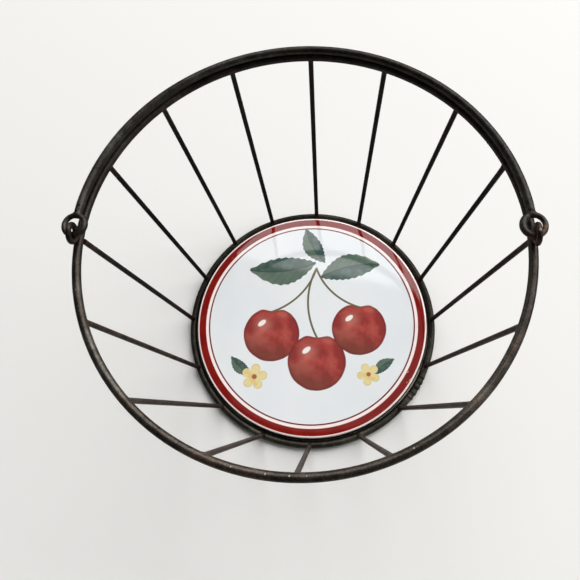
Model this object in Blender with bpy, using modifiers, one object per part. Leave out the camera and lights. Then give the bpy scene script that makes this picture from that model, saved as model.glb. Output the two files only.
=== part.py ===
"""A round open wire basket with a tile for a floor and a swinging handle.

The basket stands on Z = 0 with its axis on Z. The handle turns about a line along
X above the rim, and is modelled folded back towards +Y, where it rests on the rim.
Lengths are in metres.
"""
import math

import bpy
from mathutils import Euler, Vector
from mathutils.geometry import interpolate_bezier

# Rim and base ring, both bent from the same rod
RIM_RADIUS = 0.1245
RIM_HEIGHT = 0.1583
BASE_RING_RADIUS = 0.0934
RING_ROD_RADIUS = 0.00245

# Spokes, set by hand: how far each top and each foot strays round its circle, in degrees
SPOKE_RADIUS = 0.0013
SPOKE_TOP_STRAYS = [0.5, 0, -1.5, -0.5, -1.5, -1, -1, -0.5, 0, 0, 1, 1.5, 1, 1, 0.5, 0.5]
SPOKE_FOOT_STRAYS = [2.5, 1, 1, -1, -1.5, -1, -1.5, -0.5, -1, 1, 0.5, 1.5, 1, 1, 1, 2]

# Pan and the tile that lies in it
PAN_WALL = 0.0010
PAN_LIP_HEIGHT = 0.0036
PAN_CORNER_RADIUS = 0.0006
TILE_THICKNESS = 0.0069
TILE_SIDE_GAP = 0.00065
TILE_EDGE_ROUND = 0.0008

# Rings on the rim, which the handle's eyes are linked through
RIM_EYE_RADIUS = 0.0050
RIM_EYE_WIRE_RADIUS = 0.0013
RIM_EYE_SET_OUT = 0.0005

# Handle: a bow of rod whose ends are drawn thinner and curled into eyes. It hangs
# loosely, so at rest it lies a little to the left.
HANDLE_ROD_RADIUS = 0.0023
HANDLE_SET_OUT = 0.0008
HANDLE_EYE_RADIUS = 0.0056
HANDLE_EYE_WIRE_RADIUS = 0.00185
HANDLE_EYE_SET_IN = 0.0013
HANDLE_NECK_LENGTH = 0.0035
HANDLE_NECK_SET_IN = 0.0008
HANDLE_SIDE_SHIFT = -0.0006

# The least gap between pieces that are welded or that touch
SEAT_GAP = 0.0003

# Where the curl of the handle's eye leaves the neck, and how its end is found, in degrees
CURL_START_ANGLE = -205
LATEST_CURL_END = 90
CURL_END_STEP = 1

# Counts of flats on round stretches
RING_SEGMENTS = 80
ROD_SIDES = 12
SPOKE_SIDES = 10
EYE_SEGMENTS = 24
TURNED_STEPS = 64
BOW_SEGMENTS = 48
CURL_SEGMENTS = 26
NECK_SEGMENTS = 8
ROUND_EDGE_SEGMENTS = 2
# A bevelled curve has four more sides than twice this
HANDLE_BEVEL_RESOLUTION = 3
# Points nearer than this become one where a turned outline closes
MERGE_DISTANCE = 0.00001

# Where the rim's eyes stand and where the handle turns
EYE_FOOT_REACH = RING_ROD_RADIUS + RIM_EYE_WIRE_RADIUS + SEAT_GAP
EYE_FOOT_RISE = math.sqrt(EYE_FOOT_REACH**2 - RIM_EYE_SET_OUT**2)
EYE_X = RIM_RADIUS + RIM_EYE_SET_OUT
HINGE_RISE = EYE_FOOT_RISE + RIM_EYE_RADIUS
HINGE_Z = RIM_HEIGHT + HINGE_RISE

# The handle's slope at rest, from where its back lies on the rim
SEAT_REACH = RING_ROD_RADIUS + HANDLE_ROD_RADIUS + SEAT_GAP
SEAT_RISE = math.sqrt(SEAT_REACH**2 - HANDLE_SET_OUT**2)
REST_REACH = RIM_RADIUS + HANDLE_SET_OUT
REST_DROP = HINGE_RISE - SEAT_RISE
REST_SLOPE = math.atan2(REST_DROP, REST_REACH)
HANDLE_REACH = math.hypot(REST_REACH, REST_DROP)

# The floor's radii, from the base ring inwards
PAN_RADIUS = BASE_RING_RADIUS - RING_ROD_RADIUS - SEAT_GAP
TILE_RADIUS = PAN_RADIUS - PAN_WALL - TILE_SIDE_GAP


def clear_scene():
    for thing in list(bpy.data.objects):
        bpy.data.objects.remove(thing, do_unlink=True)


def make_collection(name):
    collection = bpy.data.collections.new(name)
    bpy.context.scene.collection.children.link(collection)
    return collection


def make_material(name, colour, roughness, metallic):
    material = bpy.data.materials.new(name)
    material.use_nodes = True
    shader = material.node_tree.nodes["Principled BSDF"]
    shader.inputs["Base Color"].default_value = (*colour, 1.0)
    shader.inputs["Roughness"].default_value = roughness
    shader.inputs["Metallic"].default_value = metallic
    material.diffuse_color = (*colour, 1.0)
    return material


def keep(thing, name, collection, material):
    """Name a finished piece, give it its material and file it in its collection."""
    for holder in list(thing.users_collection):
        holder.objects.unlink(thing)
    collection.objects.link(thing)
    thing.name = name
    thing.data.name = name
    thing.data.materials.clear()
    thing.data.materials.append(material)
    return thing


def make_ring(name, radius, wire_radius, segments, place, turn, collection, material):
    """A closed ring of round wire about the place given."""
    bpy.ops.mesh.primitive_torus_add(
        major_radius=radius, minor_radius=wire_radius,
        major_segments=segments, minor_segments=ROD_SIDES,
        location=place, rotation=turn)
    return keep(bpy.context.object, name, collection, material)


def polar(radius, angle, height):
    return Vector((radius * math.cos(angle), radius * math.sin(angle), height))


def make_spoke(number, collection, material):
    """A straight spoke, butted against the base ring below and the rim above."""
    even_angle = math.tau * number / len(SPOKE_TOP_STRAYS)
    top_angle = even_angle + math.radians(SPOKE_TOP_STRAYS[number])
    foot_angle = even_angle + math.radians(SPOKE_FOOT_STRAYS[number])
    ring_centre = polar(BASE_RING_RADIUS, foot_angle, RING_ROD_RADIUS)
    rim_centre = polar(RIM_RADIUS, top_angle, RIM_HEIGHT)
    along = (rim_centre - ring_centre).normalized()
    set_back = along * (RING_ROD_RADIUS + SEAT_GAP)
    foot = ring_centre + set_back
    top = rim_centre - set_back
    bpy.ops.mesh.primitive_cylinder_add(
        vertices=SPOKE_SIDES, radius=SPOKE_RADIUS, depth=(top - foot).length,
        location=(top + foot) / 2, rotation=along.to_track_quat("Z", "Y").to_euler())
    return keep(bpy.context.object, f"spoke_{number + 1:02d}", collection, material)


def make_turned(name, outline, collection, material):
    """A solid turned about Z from an outline of (radius, height) points."""
    mesh = bpy.data.meshes.new(name)
    points = [(radius, 0, height) for radius, height in outline]
    edges = [(index, index + 1) for index in range(len(points) - 1)]
    mesh.from_pydata(points, edges, [])
    thing = bpy.data.objects.new(name, mesh)
    bpy.context.scene.collection.objects.link(thing)
    turn = thing.modifiers.new("turn", "SCREW")
    turn.axis = "Z"
    turn.angle = math.tau
    turn.steps = TURNED_STEPS
    turn.render_steps = TURNED_STEPS
    turn.use_merge_vertices = True
    turn.merge_threshold = MERGE_DISTANCE
    return keep(thing, name, collection, material)


def rounded_corner(radius, height, round_radius, start_angle):
    """A quarter round, clockwise, about a centre at (radius, height)."""
    steps = range(ROUND_EDGE_SEGMENTS + 1)
    turns = [start_angle - math.pi / 2 * step / ROUND_EDGE_SEGMENTS for step in steps]
    return [(radius + round_radius * math.cos(turn), height + round_radius * math.sin(turn))
            for turn in turns]


def make_pan(collection, material):
    """A thin pan with a low lip, its floor level with the base ring's underside."""
    inside = PAN_RADIUS - PAN_WALL
    outline = [(0, PAN_WALL), (inside, PAN_WALL)]
    outline += [(inside, PAN_LIP_HEIGHT), (PAN_RADIUS, PAN_LIP_HEIGHT)]
    outline += rounded_corner(PAN_RADIUS - PAN_CORNER_RADIUS, PAN_CORNER_RADIUS,
                              PAN_CORNER_RADIUS, 0)
    outline.append((0, 0))
    return make_turned("base_pan", outline, collection, material)


def make_tile(collection, material):
    """A round tile that lies in the pan, with a softened upper edge."""
    underside = PAN_WALL + SEAT_GAP
    top = underside + TILE_THICKNESS
    outline = [(0, top)]
    outline += rounded_corner(TILE_RADIUS - TILE_EDGE_ROUND, top - TILE_EDGE_ROUND,
                              TILE_EDGE_ROUND, math.pi / 2)
    outline += [(TILE_RADIUS, underside), (0, underside)]
    return make_turned("tile", outline, collection, material)


def curl_end_angle(eye, neck_points, neck_radii):
    """The angle where the curl stops, short of the neck by the seat gap, in degrees."""
    angle = LATEST_CURL_END
    while True:
        end = [eye + polar(HANDLE_EYE_RADIUS + across, math.radians(angle), 0)
               for across in (-HANDLE_EYE_WIRE_RADIUS, 0, HANDLE_EYE_WIRE_RADIUS)]
        gap = min((point - corner).length - radius
                  for corner in end for point, radius in zip(neck_points, neck_radii))
        if gap >= SEAT_GAP:
            return angle
        angle -= CURL_END_STEP


def right_half_of_handle():
    """Centreline points and rod radii, from the curl's free end to the bow's back.

    They lie in the handle's own plane: X along the hinge, Y away from it.
    """
    # The bow is the circle through the back and the two necks
    eye = Vector((EYE_X - HANDLE_EYE_SET_IN, HANDLE_EYE_RADIUS, 0))
    neck = eye + Vector((-HANDLE_NECK_SET_IN, HANDLE_EYE_RADIUS + HANDLE_NECK_LENGTH, 0))
    bow_y = (HANDLE_REACH**2 - neck.y**2 - neck.x**2) / (2 * (HANDLE_REACH - neck.y))
    bow_radius = HANDLE_REACH - bow_y
    neck_angle = math.atan2(neck.y - bow_y, neck.x)

    # The neck runs smoothly out of the curl and into the bow
    start_turn = math.radians(CURL_START_ANGLE)
    off_curl = Vector((math.sin(start_turn), -math.cos(start_turn), 0))
    off_bow = Vector((math.sin(neck_angle), -math.cos(neck_angle), 0))
    curl_start = eye + polar(HANDLE_EYE_RADIUS, start_turn, 0)
    pull = (neck - curl_start).length / 2
    bend = interpolate_bezier(curl_start, curl_start + off_curl * pull,
                              neck + off_bow * pull, neck, NECK_SEGMENTS + 1)
    thicker = HANDLE_ROD_RADIUS - HANDLE_EYE_WIRE_RADIUS
    bend_radii = [HANDLE_EYE_WIRE_RADIUS + thicker * step / NECK_SEGMENTS
                  for step in range(NECK_SEGMENTS + 1)]

    end_angle = curl_end_angle(eye, bend, bend_radii)
    turns = [end_angle + (CURL_START_ANGLE - end_angle) * step / CURL_SEGMENTS
             for step in range(CURL_SEGMENTS)]
    points = [eye + polar(HANDLE_EYE_RADIUS, math.radians(turn), 0) for turn in turns]
    radii = [HANDLE_EYE_WIRE_RADIUS for turn in turns]
    points += bend
    radii += bend_radii

    half_bow = BOW_SEGMENTS // 2
    for step in range(1, half_bow + 1):
        angle = neck_angle + (math.pi / 2 - neck_angle) * step / half_bow
        points.append(Vector((0, bow_y, 0)) + polar(bow_radius, angle, 0))
        radii.append(HANDLE_ROD_RADIUS)
    return points, radii


def make_handle(collection, material):
    """One bent rod, turned about the hinge line so that its back lies on the rim."""
    points, radii = right_half_of_handle()
    left_points = [Vector((-point.x, point.y, 0)) for point in reversed(points[:-1])]
    points = points + left_points
    radii = radii + radii[-2::-1]
    curve = bpy.data.curves.new("handle", "CURVE")
    curve.dimensions = "3D"
    curve.bevel_depth = HANDLE_ROD_RADIUS
    curve.bevel_resolution = HANDLE_BEVEL_RESOLUTION
    curve.use_fill_caps = True
    spline = curve.splines.new("POLY")
    spline.points.add(len(points) - 1)
    for bend, point, radius in zip(spline.points, points, radii):
        bend.co = (*point, 1.0)
        bend.radius = radius / HANDLE_ROD_RADIUS
    thing = bpy.data.objects.new("handle", curve)
    bpy.context.scene.collection.objects.link(thing)
    thing.location = (HANDLE_SIDE_SHIFT, 0, HINGE_Z)
    thing.rotation_euler = Euler((-REST_SLOPE, 0, 0))
    return keep(thing, "handle", collection, material)


def main():
    clear_scene()
    parts = make_collection("wire_basket")
    dark_metal = (0.045, 0.040, 0.034)
    rim_metal = make_material("rim_metal", dark_metal, 0.42, 0.85)
    base_metal = make_material("base_metal", dark_metal, 0.55, 0.80)
    spoke_metal = make_material("spoke_metal", (0.040, 0.034, 0.030), 0.45, 0.85)
    eye_metal = make_material("eye_metal", (0.060, 0.042, 0.032), 0.50, 0.80)
    pan_metal = make_material("pan_metal", (0.035, 0.033, 0.030), 0.60, 0.80)
    handle_metal = make_material("handle_metal", (0.055, 0.050, 0.042), 0.40, 0.85)
    glaze = make_material("tile_glaze", (0.80, 0.84, 0.85), 0.08, 0.0)

    make_ring("rim_ring", RIM_RADIUS, RING_ROD_RADIUS, RING_SEGMENTS,
              (0, 0, RIM_HEIGHT), (0, 0, 0), parts, rim_metal)
    make_ring("base_ring", BASE_RING_RADIUS, RING_ROD_RADIUS, RING_SEGMENTS,
              (0, 0, RING_ROD_RADIUS), (0, 0, 0), parts, base_metal)
    for side, name in ((-1, "rim_eye_left"), (1, "rim_eye_right")):
        make_ring(name, RIM_EYE_RADIUS, RIM_EYE_WIRE_RADIUS, EYE_SEGMENTS,
                  (side * EYE_X, 0, HINGE_Z), (0, math.pi / 2, 0), parts, eye_metal)
    for number in range(len(SPOKE_TOP_STRAYS)):
        make_spoke(number, parts, spoke_metal)
    make_pan(parts, pan_metal)
    make_tile(parts, glaze)
    make_handle(parts, handle_metal)
    print(f"The handle turns about a line {HINGE_Z:.5f} m up and rests {math.degrees(REST_SLOPE):.3f}"
          f" degrees below level, so it swings {180 + 2 * math.degrees(REST_SLOPE):.2f} degrees over")


main()
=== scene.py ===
# %% [markdown]
# # A round wire basket with a tile floor
#
# The real object is an open basket, welded from dark rod: a rim, a smaller base ring, 16
# straight spokes between them, and a bail handle that turns in two small eyes. A glazed
# tile lies in a shallow pan as its floor. The CAD model has the right sizes and places, so
# this lesson loads it as a fixed frame and gives each piece its full form and finish.

# %% Load the CAD frame
import math

import bpy
import numpy as np
from mathutils import Euler, Matrix, Vector


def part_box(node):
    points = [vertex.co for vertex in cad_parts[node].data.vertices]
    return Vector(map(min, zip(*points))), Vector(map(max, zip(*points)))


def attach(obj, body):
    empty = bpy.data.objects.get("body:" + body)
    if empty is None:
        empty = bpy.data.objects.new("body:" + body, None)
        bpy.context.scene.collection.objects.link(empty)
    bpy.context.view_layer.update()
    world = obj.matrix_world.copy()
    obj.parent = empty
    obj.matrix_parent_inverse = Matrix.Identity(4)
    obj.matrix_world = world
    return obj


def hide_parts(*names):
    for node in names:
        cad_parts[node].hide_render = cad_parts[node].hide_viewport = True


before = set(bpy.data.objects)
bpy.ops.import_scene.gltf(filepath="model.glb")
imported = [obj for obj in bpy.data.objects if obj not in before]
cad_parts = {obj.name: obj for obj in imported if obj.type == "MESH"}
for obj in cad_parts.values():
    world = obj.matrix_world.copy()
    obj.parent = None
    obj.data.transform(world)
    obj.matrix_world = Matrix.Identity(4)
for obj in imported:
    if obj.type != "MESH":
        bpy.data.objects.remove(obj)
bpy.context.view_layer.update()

# %% [markdown]
# ## The camera
#
# The photo looks down into the basket from the front at 65 degrees, quite near, as with a
# phone. The camera was found by fitting the rim, the base ring, the tile and the spokes to
# the photo's edges. A new camera looks straight down. So it is rolled about its line of
# sight, tipped up until it looks down by its pitch only, and turned about the upright axis.

# %% Set up the camera
CAMERA_PLACE = Vector((0.02307, -0.13968, 0.46208))
CAMERA_YAW = 0.2383  # radians, like the next two
CAMERA_PITCH = 1.2118
CAMERA_ROLL = -0.2145
FOCAL_SHARE = 1.04988  # focal length as a share of the picture's width
SENSOR_WIDTH = 36.0


def add_object(name, data):
    """Put data into the scene as a new object."""
    piece = bpy.data.objects.new(name, data)
    bpy.context.scene.collection.objects.link(piece)
    return piece


camera = add_object("camera", bpy.data.cameras.new("camera"))
camera.data.sensor_width = SENSOR_WIDTH
camera.data.lens = FOCAL_SHARE * SENSOR_WIDTH
camera.data.clip_start = 0.01
camera.matrix_world = (Matrix.Translation(CAMERA_PLACE)
                       @ Matrix.Rotation(CAMERA_YAW, 4, "Z")
                       @ Matrix.Rotation(math.pi / 2 - CAMERA_PITCH, 4, "X")
                       @ Matrix.Rotation(CAMERA_ROLL, 4, "Z"))
bpy.context.scene.camera = camera
bpy.context.scene.view_settings.view_transform = "Standard"
print(f"The camera has a {camera.data.lens:.1f} mm lens")

# %% [markdown]
# ## Sizes
#
# The sizes come from the CAD nodes' own boxes where they can be read there, so the pieces
# below follow the CAD. Only the handle's bends have to be repeated, because a box does not
# show them. All lengths are in metres.

# %% Read the sizes from the CAD nodes
rim_low, rim_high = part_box("rim_ring")
base_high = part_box("base_ring")[1]
eye_low, eye_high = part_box("rim_eye_right")
pan_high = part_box("base_pan")[1]
tile_low, tile_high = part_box("tile")

ROD = (rim_high.z - rim_low.z) / 2
RIM_RADIUS = rim_high.x - ROD
RIM_HEIGHT = (rim_high.z + rim_low.z) / 2
BASE_RADIUS = base_high.x - ROD
EYE_WIRE = (eye_high.x - eye_low.x) / 2
EYE_X = (eye_high.x + eye_low.x) / 2
EYE_RADIUS = (eye_high.z - eye_low.z) / 2 - EYE_WIRE
HINGE_HEIGHT = (eye_high.z + eye_low.z) / 2
PAN_RADIUS = pan_high.x
PAN_LIP_HEIGHT = pan_high.z
TILE_RADIUS = tile_high.x
TILE_TOP = tile_high.z
print(f"Rim radius {RIM_RADIUS * 1000:.2f} mm, rod radius {ROD * 1000:.2f} mm, "
      f"hinge {HINGE_HEIGHT * 1000:.2f} mm up")

# %% [markdown]
# ## A helper for nodes
#
# Materials and geometry are both built from nodes. One short function adds a node, sets its
# options, and fills its inputs, from a number or from another node's result. A result also
# knows plain sums: 1 - result * 2 adds the two nodes for that. A few more functions give
# the everyday steps a plain name, so a node tree reads like a recipe.


# %% Helpers that build node trees
class Result:
    """What a node gives. A sum written with it adds nodes, and [name] is another output."""

    def __init__(self, socket):
        self.socket = socket
        self.tree = socket.id_data

    def __getitem__(self, name):
        return Result(self.socket.node.outputs[name])

    def __pow__(self, other):
        return maths("POWER", self, other)

    def __abs__(self):
        return maths("ABSOLUTE", self)


def teach_sum(sign, operation):
    """Let results know a sum sign, with a result on the sign's left or on its right."""
    setattr(Result, f"__{sign}__", lambda here, other: maths(operation, here, other))
    setattr(Result, f"__r{sign}__", lambda here, other: maths(operation, other, here))


for sign, operation in (("add", "ADD"), ("sub", "SUBTRACT"), ("mul", "MULTIPLY"),
                        ("truediv", "DIVIDE")):
    teach_sum(sign, operation)


def fill(node, inputs):
    """Fill a node's inputs, given by name or number, with values or other nodes' results."""
    for name, value in inputs.items():
        if isinstance(value, Result):
            value.tree.links.new(value.socket, node.inputs[name])
        else:
            node.inputs[name].default_value = value


def add_node(kind, inputs=None, tree=None, **options):
    """Add a node to the tree given, or else to the tree that its inputs come from."""
    inputs = inputs or {}
    tree = tree or next(value.tree for value in inputs.values() if isinstance(value, Result))
    node = tree.nodes.new(kind)
    for name, value in options.items():
        setattr(node, name, value)
    fill(node, inputs)
    return Result(node.outputs[0])


def maths(operation, *values):
    return add_node("ShaderNodeMath", dict(enumerate(values)), operation=operation)


def vector_maths(operation, *values):
    done = add_node("ShaderNodeVectorMath", dict(enumerate(values)), operation=operation)
    return done["Value"] if operation in ("LENGTH", "DISTANCE") else done


def scaled(vector, factor):
    return add_node("ShaderNodeVectorMath", {0: vector, "Scale": factor}, operation="SCALE")


def remap(value, low, high, to_low=0.0, to_high=1.0, way="SMOOTHSTEP"):
    """Turn a value's range low to high into to_low to to_high, held at both ends."""
    return add_node("ShaderNodeMapRange",
                    {"Value": value, "From Min": low, "From Max": high,
                     "To Min": to_low, "To Max": to_high}, interpolation_type=way)


def noise(where, size, detail=3.0, roughness=0.5, seed=0.0):
    """Cloudy noise with features of about the size given, in metres, from 0 to 1."""
    return add_node("ShaderNodeTexNoise",
                    {"Vector": where, "W": seed, "Scale": 1 / size, "Detail": detail,
                     "Roughness": roughness}, noise_dimensions="4D")


def grey(level):
    return add_node("ShaderNodeCombineColor", {0: level, 1: level, 2: level})


def blend_colours(share, first, second, way="MIX"):
    return add_node("ShaderNodeMix", {0: share, 6: first, 7: second},
                    data_type="RGBA", blend_type=way)[2]


def paint(red, green, blue):
    """A colour as a paint chart gives it, 0 to 255, made ready for a shader."""
    parts = [part / 255 for part in (red, green, blue)]
    return (*[part / 12.92 if part <= 0.04045 else ((part + 0.055) / 1.055) ** 2.4
              for part in parts], 1.0)


print("Rust brown is", [round(part, 3) for part in paint(122, 70, 42)[:3]], "to a shader")

# %% [markdown]
# ## The metal's finish
#
# The rods have a satin, almost black brown finish, like oil rubbed bronze. It is uneven: it
# turns olive grey in patches and warm brown where hands rub it, it rusts a little at the
# welds, and it is chipped in a few small spots. One function makes the finish for every
# metal piece, with other shares of each for the rim, the spokes, the eyes and the handle.
# The front is painted lighter and the back darker: this is painted light and shade. The
# patterns lie in object coordinates, so they move with the handle and never slide.
# Pieces carry a number called weld at each point, near 1 at a joint, and rust follows it.
# Two more such numbers paint light and shade: one puts painted shade into the bottom of a
# crease, and one a pale painted highlight along the top of the pan's strip.

# %% Build one metal finish per kind of piece
METAL_SHARE = 0.88
EDGE_TINT = (0.5, 0.5, 0.5, 1.0)
CREASE_SHADE_COLOUR = paint(10, 8, 7)
RUST_DARK, RUST_LIGHT = paint(50, 20, 12), paint(104, 58, 36)
PAINTED_LIGHT_BACK, PAINTED_LIGHT_FRONT = 0.04, -0.12  # between these depths the painted light grows to its full share


def new_material(name):
    material = bpy.data.materials.new(name)
    material.use_nodes = True
    return material


def aged_metal(name, dark, olive, warm, olive_share=0.5, warm_share=0.4, rust_share=0.5,
               roughness=0.37, spots=(), spot_colour=paint(158, 148, 134), crease_shade_spots=(),
               front_back_shade=(0.5, 2.0), seed=0.0):
    material = new_material(name)
    tree = material.node_tree
    where = add_node("ShaderNodeTexCoord", tree=tree)["Object"]
    weld, crease, strip_highlight = [
        add_node("ShaderNodeAttribute", tree=tree, attribute_name=mark)["Fac"]
        for mark in ("weld", "crease", "strip_highlight")]

    broad = noise(where, 0.030, detail=4, seed=seed)
    other = noise(where, 0.022, detail=4, roughness=0.6, seed=seed + 11)
    mottle = noise(where, 0.006, detail=5, roughness=0.6, seed=seed + 3)
    fine = noise(where, 0.0012, detail=2, roughness=0.6, seed=seed + 29)
    grain = noise(where, 0.0007, detail=3, roughness=0.6, seed=seed + 7)

    olive_edge, warm_edge = 0.62 - 0.2 * olive_share, 0.66 - 0.25 * warm_share
    colour = blend_colours(remap(broad, olive_edge, olive_edge + 0.18), dark, olive)
    colour = blend_colours(remap(other, warm_edge, warm_edge + 0.16), colour, warm)
    speckle = (remap(mottle, 0.35, 0.65, 0.62, 1.35, way="LINEAR")
               * remap(fine, 0.35, 0.65, 0.75, 1.28))
    colour = blend_colours(1.0, colour, grey(speckle), way="MULTIPLY")
    depth = add_node("ShaderNodeSeparateXYZ", {0: where})[1]
    # Painted light and shade: the colour is lighter towards the front and darker towards the
    # back
    colour = scaled(colour, remap(depth, PAINTED_LIGHT_BACK, PAINTED_LIGHT_FRONT, *front_back_shade))

    rust_mask = weld * remap(mottle, 0.36, 0.60) * rust_share
    pins = remap(noise(where, 0.0022, detail=2, seed=seed + 17), 0.70, 0.76)
    rust_mask = maths("MAXIMUM", rust_mask, pins * remap(other, 0.50, 0.60, 0.0, 0.35))
    colour = blend_colours(rust_mask, colour, blend_colours(grain, RUST_DARK, RUST_LIGHT))

    # Pale chips, and the pale spots given or marked: some are chips and some are painted
    # highlights
    chips = remap(noise(where, 0.0016, detail=1, seed=seed + 23), 0.765, 0.785)
    chips_and_highlights = maths("MAXIMUM", chips * remap(broad, 0.50, 0.58), strip_highlight)
    for place, reach in spots:
        ragged = vector_maths("DISTANCE", where, place) + mottle * (reach * 1.2)
        chips_and_highlights = maths("MAXIMUM", chips_and_highlights, remap(ragged, reach * 1.5, reach * 0.9))
    colour = blend_colours(chips_and_highlights, colour, spot_colour)
    # Painted shade: the bottom of a crease and the spots given are darkened, and dented a
    # little
    crease_dent_and_shade = crease
    for place, reach in crease_shade_spots:
        away = vector_maths("DISTANCE", where, place)
        crease_dent_and_shade = maths("MAXIMUM", crease_dent_and_shade, remap(away, reach, reach * 0.6))
    colour = blend_colours(crease_dent_and_shade, colour, CREASE_SHADE_COLOUR)

    rough = remap(mottle, 0.3, 0.7, roughness - 0.07, roughness + 0.09, way="LINEAR")
    height = mottle * 0.6 + fine * 0.25 + grain * 0.12 - chips_and_highlights * 0.2 - crease_dent_and_shade
    fill(tree.nodes["Principled BSDF"], {
        "Base Color": colour, "Roughness": rough + rust_mask * 0.25,
        "Metallic": (1.0 - maths("MAXIMUM", rust_mask, chips_and_highlights)) * METAL_SHARE,
        "Specular IOR Level": 0.5, "Specular Tint": EDGE_TINT,
        "Normal": add_node("ShaderNodeBump", {"Height": height, "Strength": 0.35,
                                              "Distance": 0.0004})})
    return material


def direction(degrees):
    return math.cos(math.radians(degrees)), math.sin(math.radians(degrees))


def on_ring(radius, degrees, height):
    x, y = direction(degrees)
    return Vector((radius * x, radius * y, height))


# Small chips seen along the top of the rim's front, by their bearing and reach
RIM_CHIPS = [(-103.5, 0.0006), (-95.6, 0.0007), (-90.2, 0.0006), (-86.4, 0.0006),
             (-61.8, 0.0006)]
rim_chips_and_highlight = [(on_ring(RIM_RADIUS - 0.0006, turn, RIM_HEIGHT + ROD), reach)
             for turn, reach in RIM_CHIPS]
# Three pale spots at the rim's right: part chip and part a painted highlight streak
rim_chips_and_highlight += [(on_ring(RIM_RADIUS - 0.0011, turn, RIM_HEIGHT + ROD - 0.0004), 0.0006)
              for turn in (11.9, 12.5, 13.1)]
# A spot of painted shade in the left eye's crease, by place and reach
HANDLE_CREASE_SHADE = [((-0.1229, 0.0165, 0.1689), 0.0007)]
# A pale mark on top of the right eye, part rub and part painted highlight, and an orange
# touch of rust on the handle beside it
EYE_RUB_AND_HIGHLIGHT = [((EYE_X - 0.0009, -0.0004, HINGE_HEIGHT + 0.0064), 0.0013)]
HANDLE_TOUCHES = [((EYE_X + 0.0034, 0.0036, HINGE_HEIGHT + 0.0012), 0.0011)]

WARM_BROWN = paint(58, 51, 45)
rim_finish = aged_metal("rim_metal", paint(46, 42, 38), paint(60, 58, 53), WARM_BROWN,
                        olive_share=0.5, warm_share=0.5, rust_share=0.8,
                        spots=rim_chips_and_highlight, front_back_shade=(0.9, 2.0), seed=1.0)
base_finish = aged_metal("base_metal", paint(47, 44, 39), paint(62, 62, 54), WARM_BROWN,
                         olive_share=0.7, roughness=0.48, front_back_shade=(0.7, 1.8), seed=2.0)
spoke_finish = aged_metal("spoke_metal", paint(44, 40, 36), paint(56, 54, 49),
                          paint(58, 49, 43), olive_share=0.3, warm_share=0.7,
                          rust_share=0.9, front_back_shade=(0.4, 3.2), seed=3.0)
eye_finish = aged_metal("eye_metal", paint(44, 38, 34), paint(56, 54, 50),
                        paint(60, 46, 39), olive_share=0.4, warm_share=0.7,
                        rust_share=0.6, spots=EYE_RUB_AND_HIGHLIGHT, spot_colour=paint(126, 118, 98),
                        front_back_shade=(0.8, 1.6), seed=4.0)
handle_finish = aged_metal("handle_metal", paint(50, 47, 43), paint(66, 65, 59),
                           paint(58, 52, 46), olive_share=0.7, warm_share=0.5,
                           rust_share=0.9, roughness=0.41, spots=HANDLE_TOUCHES,
                           spot_colour=paint(112, 82, 46), crease_shade_spots=HANDLE_CREASE_SHADE,
                           front_back_shade=(0.85, 1.8), seed=5.6)
pan_finish = aged_metal("pan_metal", paint(56, 56, 52), paint(98, 101, 92), WARM_BROWN,
                        olive_share=0.8, warm_share=0.3, rust_share=0.3,
                        roughness=0.5, seed=6.0)
print("Metal finishes made:", [m.name for m in bpy.data.materials if "metal" in m.name])

# %% [markdown]
# ## A rod that follows a path
#
# The rim, the base ring, the eyes and the handle are all round rod bent along a path. A
# Geometry Nodes tree suits this: it sweeps a circle along the path, then moves the surface
# in and out by a small noise, because hand-bent rod is never quite smooth. The path is a
# curve whose points carry the rod's radius, so a rod can swell at a weld or round off at
# its end. The tree's sizes are named inputs, and the noise has a fixed seed.


# %% The tree that makes a rod
def add_sockets(tree, way, **sockets):
    """Give a tree inputs or outputs, as lists of names by their kind."""
    for kind, names in sockets.items():
        for name in names:
            tree.interface.new_socket(name, in_out=way, socket_type=f"NodeSocket{kind}")


def make_tree(name, **inputs):
    """A Geometry Nodes tree with a geometry input and the inputs named, kind by kind."""
    tree = bpy.data.node_groups.new(name, "GeometryNodeTree")
    add_sockets(tree, "INPUT", Geometry=["Geometry"], **inputs)
    add_sockets(tree, "OUTPUT", Geometry=["Geometry"])
    return tree, Result(tree.nodes.new("NodeGroupInput").outputs[0])


def finish_tree(geometry, finish):
    """End a tree with real geometry, smooth shading and its material. End a tree as the
    export needs it: real geometry, smooth, with its material.
    """
    geometry = add_node("GeometryNodeSetShadeSmooth", {"Geometry": geometry})
    geometry = add_node("GeometryNodeRealizeInstances", {"Geometry": geometry})
    geometry = add_node("GeometryNodeSetMaterial", {"Geometry": geometry, "Material": finish})
    fill(geometry.tree.nodes.new("NodeGroupOutput"), {0: geometry})


def sweep(path, sides):
    tree = path.tree
    circle = add_node("GeometryNodeCurvePrimitiveCircle", {"Resolution": sides, "Radius": 1.0},
                      tree=tree)
    radius = add_node("GeometryNodeInputRadius", tree=tree)
    return add_node("GeometryNodeCurveToMesh", {
        "Curve": path, "Profile Curve": circle["Curve"], "Scale": radius, "Fill Caps": True})


def roughen(mesh, depth, size, seed):
    """Move a surface in and out along its normal by noise, up to the depth given."""
    place = add_node("GeometryNodeInputPosition", tree=mesh.tree)
    normal = add_node("GeometryNodeInputNormal", tree=mesh.tree)
    rise = (noise(place, size, detail=2.0, seed=seed) - 0.5) * (depth * 2.0)
    return add_node("GeometryNodeSetPosition", {"Geometry": mesh,
                                                "Offset": scaled(normal, rise)})


rod_tree, rod_in = make_tree("bent_rod", Int=["Sides"], Material=["Finish"],
                             Float=["Unevenness", "Unevenness Size", "Seed"])
rod_mesh = roughen(sweep(rod_in["Geometry"], rod_in["Sides"]), rod_in["Unevenness"],
                   rod_in["Unevenness Size"], rod_in["Seed"])
finish_tree(rod_mesh, rod_in["Finish"])


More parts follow.
